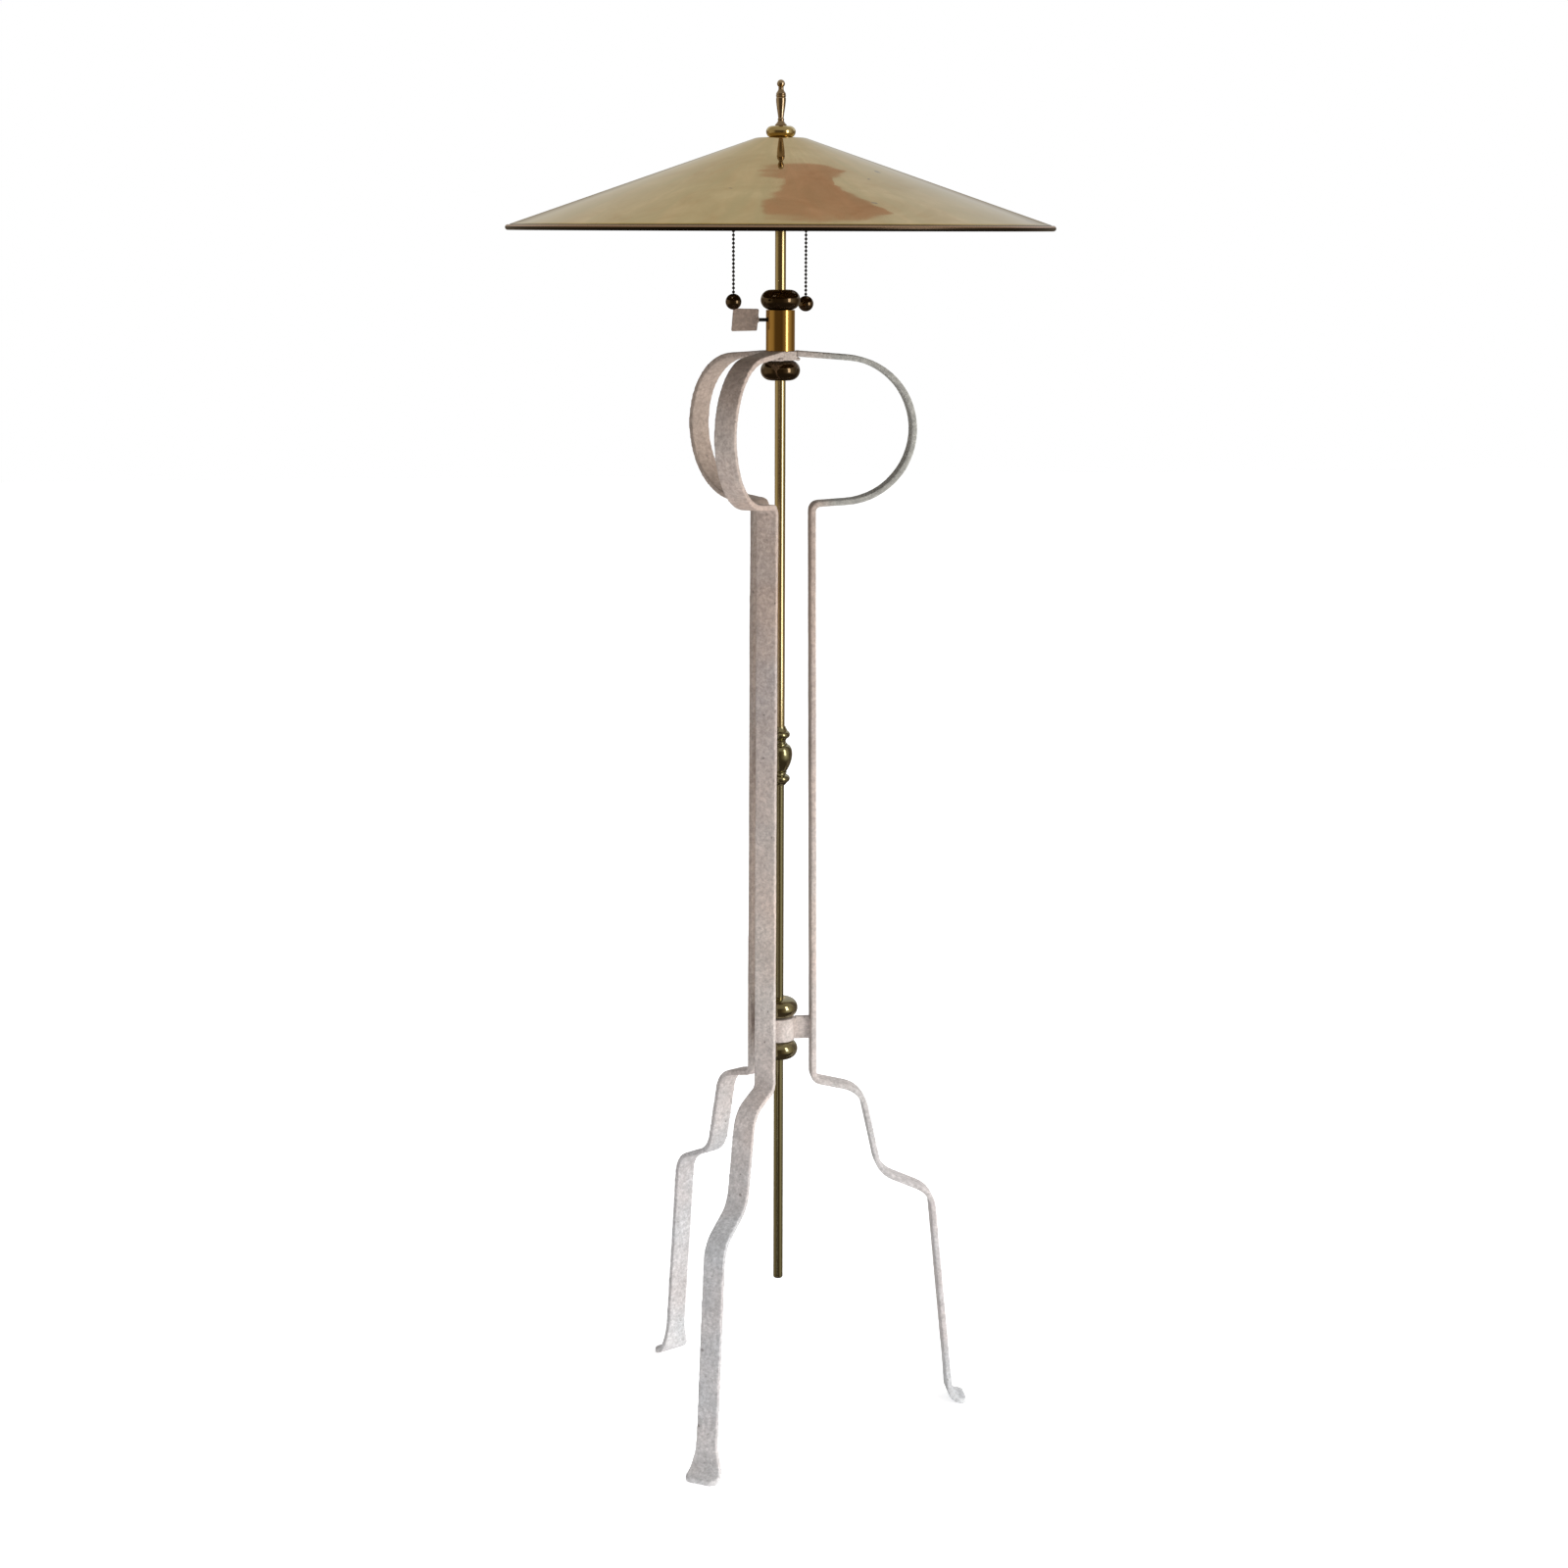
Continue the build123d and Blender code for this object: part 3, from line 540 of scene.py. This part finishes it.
def turn_coupling():
    """Ring, neck, urn, neck, ring, with the small beads the lathe left between them."""
    low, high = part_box("mast_coupling")
    low_tube, high_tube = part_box("mast_lower_tube")[1].x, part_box("mast_upper_tube")[1].x
    low_play, high_play, high_lip = 0.1 * MM, 0.05 * MM, 0.9 * MM
    top = high.z - low.z
    ring_radius, ring_half, ring_steps = 11.6 * MM, 4.1 * MM, 14
    low_ring, high_ring = 7.0 * MM, top - 9.2 * MM
    foot, foot_radius = 14.8 * MM, 7.4 * MM
    belly, belly_radius = 34.6 * MM, high.x
    crown, crown_radius = top - 20.6 * MM, 9.0 * MM
    fullness, urn_steps, crown_steps = 0.85, 22, 14

    outline = [(low_tube + low_play, 0)] + stepped([(6.6, 0), (8.0, 1.8)])
    outline += arc((ring_radius - ring_half, low_ring), ring_half, -62, 75, ring_steps)
    outline += stepped([(7.2, 12.6), (7.2, 13.2), (8.3, 13.7), (8.3, 14.5)])
    for i in range(urn_steps + 1):
        rise = i / urn_steps
        bulge = (belly_radius - foot_radius) * math.sin(rise * math.pi / 2) ** fullness
        outline.append((foot_radius + bulge, foot + (belly - foot) * rise))
    for i in range(1, crown_steps + 1):
        turn = math.pi / 2 * i / crown_steps
        bulge = (belly_radius - crown_radius) * math.cos(turn)
        outline.append((crown_radius + bulge, belly + (crown - belly) * math.sin(turn)))
    outline += stepped([(8.8, 0.5), (8.8, 1.5), (7.2, 2.2), (7.1, 5.0)], crown)
    outline += arc((ring_radius - ring_half, high_ring), ring_half, -75, 66, ring_steps)
    outline += stepped([(8.4, -3.6), (7.4, -2.2)], top)
    outline += [(high_tube + high_lip, top), (high_tube + high_play, top)]
    lathe_piece("mast_coupling", [(radius, low.z + height) for radius, height in outline], sharp_angle=50)


def turn_finial():
    """Ball, collar, shoulder beads and a body that tapers to a flared foot."""
    low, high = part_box("finial")
    bore, bore_depth = 3.0 * MM, 5.5 * MM
    ball, collar_top = 4.2 * MM, 39.6 * MM
    shape = [
        (5.8, 0.0), (6.3, 0.5), (6.1, 1.3), (4.7, 2.6), (3.6, 4.2), (3.1, 5.4), (3.3, 6.0), (3.5, 6.6),
        (3.3, 7.2), (2.9, 7.7), (2.9, 8.6), (3.3, 11.5), (4.0, 16.0), (4.7, 21.0), (5.15, 25.5),
        (5.2, 28.4), (4.9, 29.2), (4.7, 29.5), (5.25, 30.0), (5.4, 30.7), (5.2, 31.3), (4.8, 31.6),
        (5.1, 32.0), (5.2, 32.7), (4.7, 33.9), (3.6, 35.4), (2.9, 37.0), (2.6, 38.0), (2.9, 38.5),
        (2.9, 39.0), (2.5, 39.4),
    ]
    middle = high.z - ball
    start = math.degrees(math.asin((low.z + collar_top - middle) / ball))
    profile = [(bore, low.z)] + stepped(shape, low.z)
    profile += arc((0, middle), ball, start, 90, 16)[:-1] + [(0, high.z)]
    profile += [(0, low.z + bore_depth), (bore, low.z + bore_depth)]
    lathe_piece("finial", profile, sharp_angle=55)


def turn_finial_base():
    """A full-sided bun that narrows to its foot and dishes in to the finial above."""
    low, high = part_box("finial_base")
    bore, side, side_steps = 3.15 * MM, 6.4 * MM, 12
    belt = low.z + 6.0 * MM
    profile = [(bore, low.z)]
    for start, end, flatness in ((-68, 0, 1.0), (0, 78, 0.92)):
        bulge = arc((high.x - side, belt), side, start, end, side_steps)
        profile += [(radius, belt + (height - belt) * flatness) for radius, height in bulge]
    profile += stepped([(9.0, -0.3), (7.4, 0)], high.z) + [(bore, high.z)]
    lathe_piece("finial_base", profile)


def turn_ball(side):
    """A round pull ball."""
    node = f"pull_ball_{side}"
    low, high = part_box(node)
    centre = centre_of(node)
    radius = (high.x - low.x) / 2
    middle = (low.z + high.z) / 2
    profile = [(0, low.z)] + arc((0, middle), radius, -84, 84, 40) + [(0, high.z)]
    lathe_piece(node, profile, centre, 64)


# ---------------------------------------------------------------- the shade


# The straight side's waves, which fade out near both of its ends.
SPIN_WAVE, SPIN_PITCH = 0.003 * MM, 21 * MM


def spin_shade():
    """Spun brass cone: soft shoulder, straight side with faint spinning waves, grooved and rolled rim."""
    low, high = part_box("shade")
    sheet, hole, bend, roll = 0.9 * MM, 3.5 * MM, 16 * MM, 2.9 * MM
    sink, side_steps, calm_share = sheet * 0.05, 60, 1 / 6
    edge_radius, edge_height = high.x - RIM_REACH, low.z + RIM_DEPTH
    slope = math.atan2(high.z - edge_height, edge_radius - SHOULDER_RADIUS)
    shoulder = SHOULDER_RADIUS - bend * math.tan(slope / 2)

    profile = [(hole, high.z), (shoulder, high.z)]
    profile += arc((shoulder, high.z - bend), bend, 90, 90 - math.degrees(slope), 8)[1:]
    start_radius, start_height = profile[-1]
    for i in range(1, side_steps + 1):
        share = i / side_steps
        radius = start_radius + (edge_radius - start_radius) * share
        calm = min(1, share / calm_share) * min(1, (1 - share) / calm_share)
        wave = SPIN_WAVE * math.sin(radius / SPIN_PITCH * 2 * math.pi) * calm
        profile.append((radius, start_height + (edge_height - start_height) * share - sink + wave))
    groove = [(0.5, -0.9), (0.9, -1.3)]
    profile += [(edge_radius + out * MM, edge_height + up * MM) for out, up in groove]
    profile += arc((high.x - roll, low.z + roll), roll, 128, -172, 26)
    inner = edge_radius - sheet
    profile += [(inner + 0.2 * MM, edge_height - 2.0 * MM), (inner - 0.2 * MM, edge_height - sheet * 1.1)]
    profile += [(SHOULDER_RADIUS - 1.0 * MM, high.z - sheet * 1.6)]
    profile += [(SHOULDER_RADIUS - 5 * MM, high.z - sheet), (hole, high.z - sheet)]
    lathe_piece("shade", profile, segments=288, sharp_angle=60)


# ---------------------------------------------------------------- clamp screw and welds


def cut_thread():
    """The clamp screw with a real thread between sleeve and paddle."""
    low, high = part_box("clamp_screw")
    major, middle = (high.z - low.z) / 2, (high.z + low.z) / 2
    pitch, depth, sides, rings_per_turn = 0.8 * MM, 0.38 * MM, 24, 8
    last = int((high.x - low.x) / (pitch / rings_per_turn))
    bm = bmesh.new()
    rings = []
    for i in range(last + 1):
        x = low.x + (high.x - low.x) * i / last
        ring = []
        for j in range(sides):
            phase = ((x / pitch) + j / sides) % 1.0
            radius = major - depth * abs(2 * phase - 1) if 0 < i < last else major - depth
            turn = 2 * math.pi * j / sides
            ring.append(bm.verts.new((x, radius * math.cos(turn), middle + radius * math.sin(turn))))
        rings.append(ring)
    skin_rings(bm, rings)
    add_piece("clamp_screw_threaded", finish_mesh(bm, "clamp_screw_threaded", 80), "clamp_screw")


STRAP_WELD, BRACE_WELD = 1.5 * MM, 1.35 * MM
# A weld's tips, ripples and lumps are shares of its radius.
WELD_SIDES, WELD_END_STEPS, WELD_TIP = 12, 3, 0.12
RIPPLE, RIPPLE_STEP = 0.14, 1.35
LUMP, LUMP_SIZE = 0.25, 5 * MM


def weld(name, path, radius, node):
    """A painted weld bead: a rippled, uneven tube along a path, with rounded ends."""
    bm = bmesh.new()
    rings = []
    last = len(path) - 1
    for i, point in enumerate(path):
        along = (path[min(i + 1, last)] - path[max(i - 1, 0)]).normalized()
        side = along.orthogonal().normalized()
        up = along.cross(side)
        from_end = min(1.0, min(i, last - i) / WELD_END_STEPS)
        rounding = max(WELD_TIP, math.sqrt(1 - (1 - from_end) ** 2))
        swell = 1 + RIPPLE * math.sin(i * RIPPLE_STEP) + LUMP * noise.noise(point / LUMP_SIZE)
        size = radius * rounding * swell
        ring = []
        for j in range(WELD_SIDES):
            turn = 2 * math.pi * j / WELD_SIDES
            ring.append(bm.verts.new(point + side * size * math.cos(turn) + up * size * math.sin(turn)))
        rings.append(ring)
    skin_rings(bm, rings)
    add_piece(name, finish_mesh(bm, name, 70), node, stands_for=False)


def direction_of(node):
    """The angle, round from the X axis, at which a node lies from the mast."""
    low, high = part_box(node)
    return math.atan2(low.y + high.y, low.x + high.x)


def weld_strap(letter, angle, half_width=11.2 * MM, half_steps=15):
    """A leg's strap to the rim of the hub plate, over it and under it."""
    low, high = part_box("hub_plate")
    half_angle = math.asin(half_width / high.x)
    for level, z in (("over", high.z - 2.6 * MM), ("under", low.z + 1.2 * MM)):
        path = []
        for i in range(2 * half_steps + 1):
            turn = angle + half_angle * (i / half_steps - 1)
            path.append(Vector((high.x * math.cos(turn), high.x * math.sin(turn), z)))
        weld(f"weld_strap_{level}_{letter}", path, STRAP_WELD, "hub_plate")


def weld_brace(letter, angle, margin=1.5 * MM, steps=22):
    """A brace to the collar and to its leg, down both of its faces."""
    low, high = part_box("brace_a")
    half_thickness = (high.y - low.y) / 2
    collar_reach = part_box("brace_collar")[1].x * 0.985
    outward = Vector((math.cos(angle), math.sin(angle), 0))
    across = Vector((-outward.y, outward.x, 0))
    span = high.z - low.z - 2 * margin
    for sign, word in ((1, "left"), (-1, "right")):
        for place, reach in (("collar", collar_reach), ("leg", high.x)):
            base = outward * reach + across * sign * half_thickness
            path = [base + Vector((0, 0, low.z + margin + span * i / steps)) for i in range(steps + 1)]
            weld(f"weld_{place}_{word}_{letter}", path, BRACE_WELD, f"brace_{letter}")


def add_welds():
    for letter in "abc":
        angle = direction_of(f"brace_{letter}")
        weld_strap(letter, angle)
        weld_brace(letter, angle)


def build_turned():
    for node in ("upper_bead", "under_hub_bead", "over_collar_bead", "lower_bead"):
        turn_bead(node)
    turn_tube("mast_upper_tube", 4.75 * MM)
    turn_tube("mast_lower_tube", 4.3 * MM)
    turn_coupling()
    turn_finial()
    turn_finial_base()
    for side in ("left", "right"):
        turn_ball(side)
    spin_shade()
    cut_thread()
    add_welds()


# ---------------------------------------------------------------- studio

# What polished brass mirrors at lamp height: degrees round to the right of the camera, and colour.
ROOM_BANDS = [
    (-180, (0.30, 0.26, 0.20)), (-128, (0.20, 0.15, 0.09)), (-98, (0.46, 0.40, 0.29)),
    (-60, (0.34, 0.28, 0.18)), (-42, (0.10, 0.075, 0.045)), (14, (0.085, 0.062, 0.036)),
    (34, (0.24, 0.19, 0.12)), (64, (0.66, 0.62, 0.50)), (84, (0.40, 0.35, 0.25)),
    (112, (0.15, 0.11, 0.06)), (180, (0.30, 0.26, 0.20)),
]
ROOM_FLOOR = (0.075, 0.058, 0.042)
CEILING_LEFT, CEILING_RIGHT = (0.60, 0.585, 0.53), (0.63, 0.635, 0.63)
CEILING_FRONT = (0.38, 0.34, 0.26)
SKY_LEFT, SKY_RIGHT = 0.05, 1.2
# Where one part of the room turns into the next, as parts of a direction that is 1 long.
FLOOR_EDGE = (-0.55, -0.30)
CEILING_MIDDLE = (-0.10, 0.12)
REAR_WALL_TOP, FRONT_WALL_TOP = (0.06, 0.20), (0.30, 0.50)
REAR, FRONT = -0.60, -0.30
FLOOR_HALF = 12.0
FLOOR_GLOW = 0.55
CARD_HEIGHT = 4.0
CARD_STEPS = 6
CARD_COLOURS = ((0.50, 0.36, 0.31), (0.46, 0.33, 0.285))
# Outline of the warm patch on the shade: degrees to the right of its front, and millimetres from the axis.
WARM_PATCH = [
    (-11, 133), (-4, 118), (4, 110), (12, 107), (21, 111), (31, 130), (20, 152), (18, 172), (22, 212),
    (26, 254), (18, 270), (6, 277), (-3, 262), (-5, 230), (0, 185), (2, 161), (-3, 150),
]
TOWARD_CAMERA = (math.sin(CAMERA_AZIMUTH), -math.cos(CAMERA_AZIMUTH), 0.0)
TO_THE_RIGHT = (math.cos(CAMERA_AZIMUTH), math.sin(CAMERA_AZIMUTH), 0.0)


def area_light(name, position, target, size, power, colour=(1, 1, 1), mirrored=True):
    """A rectangular light at a position, aimed at a target, that brass mirrors or doesn't."""
    data = bpy.data.lights.new(name, "AREA")
    data.shape = "RECTANGLE"
    data.size, data.size_y = size
    data.energy = power
    data.color = colour
    light = add_object(name, data)
    light.location = position
    light.rotation_euler = (Vector(target) - Vector(position)).to_track_quat("-Z", "Y").to_euler()
    light.visible_glossy = mirrored


def stage_sheet(name, corners):
    """A flat sheet of the studio, from its corners in order."""
    mesh = bpy.data.meshes.new(name)
    mesh.from_pydata(corners, [], [tuple(range(len(corners)))])
    sheet = add_object(name, mesh)
    return sheet


def make_floor():
    """A pale floor that glows a little, so that it renders white, and that the brass doesn't mirror."""
    half = FLOOR_HALF
    floor = stage_sheet("floor", [(-half, -half, 0), (half, -half, 0), (half, half, 0), (-half, half, 0)])
    floor.visible_glossy = False
    s = Shader("floor", (0.90, 0.90, 0.90), roughness=0.7, Specular_IOR_Level=0.1)
    s.bsdf.inputs["Emission Color"].default_value = (1, 1, 1, 1)
    s.bsdf.inputs["Emission Strength"].default_value = FLOOR_GLOW
    s.use("Base Color", s.mix(s.noise(3.0), (0.89, 0.89, 0.89), (0.91, 0.91, 0.91)))
    floor.data.materials.append(s.material)


def seen_in_shade(turn, radius, height):
    """The point of a level ceiling that the camera sees mirrored at a place on the cone.

    turn is in degrees to the right of the side that faces the camera, and radius is from the axis.
    """
    across = math.sin(math.radians(turn)) * Vector(TO_THE_RIGHT)
    outward = across + math.cos(math.radians(turn)) * Vector(TOWARD_CAMERA)
    place = outward * radius + Vector((0, 0, SHADE_TOP - (radius - SHOULDER_RADIUS) * STEEPNESS))
    normal = (outward * STEEPNESS + Vector((0, 0, 1))).normalized()
    mirrored = (place - bpy.context.scene.camera.location).reflect(normal)
    return place + mirrored * ((height - place.z) / mirrored.z)


def make_warm_card():
    """The pinkish patch of ceiling that shows as a waisted shape in the front of the shade.

    Only mirrors see it. Its outline is worked back from the camera by way of the shade.
    """
    corners = []
    for (turn, radius), (next_turn, next_radius) in zip(WARM_PATCH, WARM_PATCH[1:] + WARM_PATCH[:1]):
        for i in range(CARD_STEPS):
            share = i / CARD_STEPS
            place = (turn + (next_turn - turn) * share, (radius + (next_radius - radius) * share) * MM)
            corners.append(seen_in_shade(*place, CARD_HEIGHT))
    card = stage_sheet("warm_card", corners)
    for ray in ("camera", "diffuse", "shadow", "transmission"):
        setattr(card, f"visible_{ray}", False)
    s = Shader("warm_card", (0, 0, 0), roughness=1.0, Specular_IOR_Level=0.0, Emission_Strength=1.0)
    s.use("Emission Color", s.mix(s.remap(s.noise(3.0), 0.35, 0.65), *CARD_COLOURS))
    card.data.materials.append(s.material)


def make_world():
    """White to look at, brighter from the right for the paint, and a dim banded room in the brass."""
    world = bpy.data.worlds.new("studio")
    bpy.context.scene.world = world
    world.use_nodes = True
    n = Nodes(world.node_tree)
    direction = n.node("ShaderNodeTexCoord").outputs["Generated"]
    toward = n.along(direction, TOWARD_CAMERA)
    side = n.along(direction, TO_THE_RIGHT)
    up = n.parts(direction)["Z"]

    around = n.remap(n.maths("ARCTAN2", side, toward), -math.pi, math.pi)
    bands = n.ramp(around, [((degrees + 180) / 360, colour) for degrees, colour in ROOM_BANDS])
    room = n.mix(n.remap(up, *FLOOR_EDGE), ROOM_FLOOR, bands)
    ceiling = n.mix(n.remap(side, *CEILING_MIDDLE), CEILING_LEFT, CEILING_RIGHT)
    on_ceiling = n.maths("MULTIPLY", n.remap(up, *REAR_WALL_TOP), n.remap(toward, FRONT, REAR))
    room = n.mix(on_ceiling, room, ceiling)
    on_front = n.maths("MULTIPLY", n.remap(up, *FRONT_WALL_TOP), n.remap(toward, REAR, FRONT))
    room = n.mix(on_front, room, CEILING_FRONT)

    sky = n.grey(n.remap(side, -1.0, 1.0, SKY_LEFT, SKY_RIGHT))
    ray = n.node("ShaderNodeLightPath").outputs
    final = n.mix(ray["Is Glossy Ray"], n.mix(ray["Is Camera Ray"], sky, (1.0, 1.0, 1.0)), room)
    n.tree.links.new(final, n.tree.nodes["Background"].inputs["Color"])


def make_studio():
    make_floor()
    make_warm_card()
    make_world()
    area_light("key", (2.1, -2.0, 1.35), (0, 0, 0.8), (1.3, 2.2), 24, (1.0, 0.96, 0.88), mirrored=False)
    area_light("key_glint", (1.9, -1.8, 1.32), (0, 0, 0.8), (0.7, 2.0), 18, (1.0, 0.97, 0.90))
    area_light("side_box", (3.0, 0.3, 1.3), (0, 0, 0.7), (1.4, 2.4), 18, mirrored=False)
    area_light("top", (0.2, -0.9, 3.6), (0, 0, 0), (3.2, 2.2), 18, mirrored=False)


dress_cad_nodes()
paint_bar_work()
build_turned()
make_studio()
bpy.context.scene.view_settings.view_transform = "Standard"
